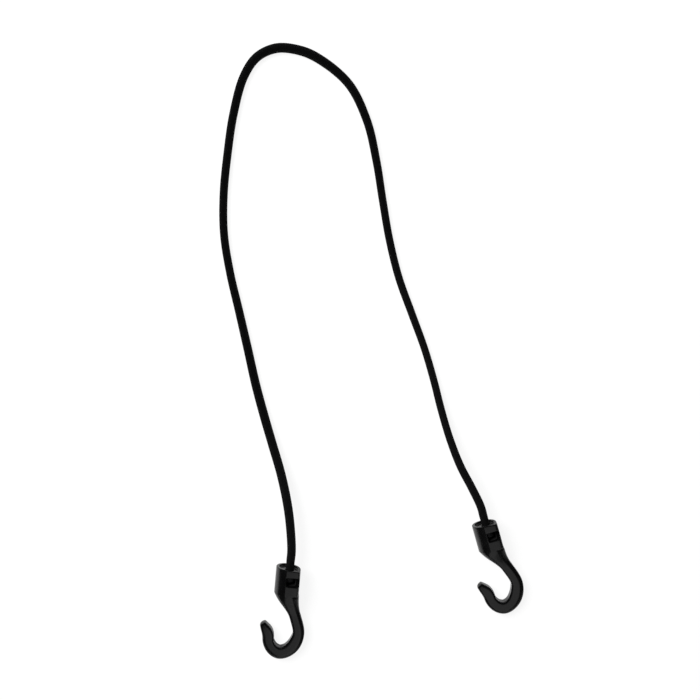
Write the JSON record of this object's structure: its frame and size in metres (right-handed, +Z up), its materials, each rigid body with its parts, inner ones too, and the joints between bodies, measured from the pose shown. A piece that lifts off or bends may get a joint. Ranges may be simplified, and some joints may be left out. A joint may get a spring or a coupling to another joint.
{
  "type": "bungee cord",
  "caption": "Elastic bungee cord of rubber strands in a black braided sheath, with a moulded black plastic hook swivelling on the crimped band at each end",
  "frame": {"origin": "On the surface the cord lies on, at the middle of the box around the two hooks.", "axes": "+Z up from that surface, +X from the left hook to the right hook, +Y from the hooks towards the loop of the cord."},
  "size_m": [0.2922, 0.5899, 0.0251],
  "materials": {
    "hook_plastic": "black moulded plastic, satin",
    "band_steel": "blackened rolled strip",
    "sheath_braid": "black close braid, matte",
    "strand_rubber": "dark natural rubber, dusted"
  },
  "bodies": {
    "cord": {"braided_sheath": "sheath_braid", "left_crimp_band": "band_steel", "rubber_strand_01": "strand_rubber", "rubber_strand_02": "strand_rubber", "rubber_strand_03": "strand_rubber", "rubber_strand_04": "strand_rubber", "rubber_strand_05": "strand_rubber", "rubber_strand_06": "strand_rubber", "rubber_strand_07": "strand_rubber", "rubber_strand_08": "strand_rubber", "rubber_strand_09": "strand_rubber", "rubber_strand_10": "strand_rubber", "rubber_strand_11": "strand_rubber", "rubber_strand_12": "strand_rubber", "rubber_strand_13": "strand_rubber", "rubber_strand_14": "strand_rubber", "rubber_strand_15": "strand_rubber", "rubber_strand_16": "strand_rubber", "rubber_strand_17": "strand_rubber", "rubber_strand_18": "strand_rubber", "rubber_strand_19": "strand_rubber"},
    "left_hook": {"left_hook": "hook_plastic"},
    "right_end": {"right_crimp_band": "band_steel"},
    "right_hook": {"right_hook": "hook_plastic"}
  },
  "joints": [
    {"name": "left_hook_swivel", "type": "hinge", "parent": "cord", "child": "left_hook", "pos_m": [-0.0984, 0.0234, 0.01386], "axis": [0.0919, 0.991, 0.0974], "continuous": true},
    {"name": "cord_stretch", "type": "slide", "parent": "cord", "child": "right_end", "axis": [0.2756, -0.9613, 0], "range_m": [0, 0.5], "stiffness_N_per_m": 190, "deforming": ["braided_sheath", "rubber_strand_01", "rubber_strand_02", "rubber_strand_03", "rubber_strand_04", "rubber_strand_05", "rubber_strand_06", "rubber_strand_07", "rubber_strand_08", "rubber_strand_09", "rubber_strand_10", "rubber_strand_11", "rubber_strand_12", "rubber_strand_13", "rubber_strand_14", "rubber_strand_15", "rubber_strand_16", "rubber_strand_17", "rubber_strand_18", "rubber_strand_19"]},
    {"name": "right_hook_swivel", "type": "hinge", "parent": "right_end", "child": "right_hook", "pos_m": [0.09, 0.067, 0.01386], "axis": [-0.2743, 0.9567, 0.0974], "continuous": true}
  ]
}
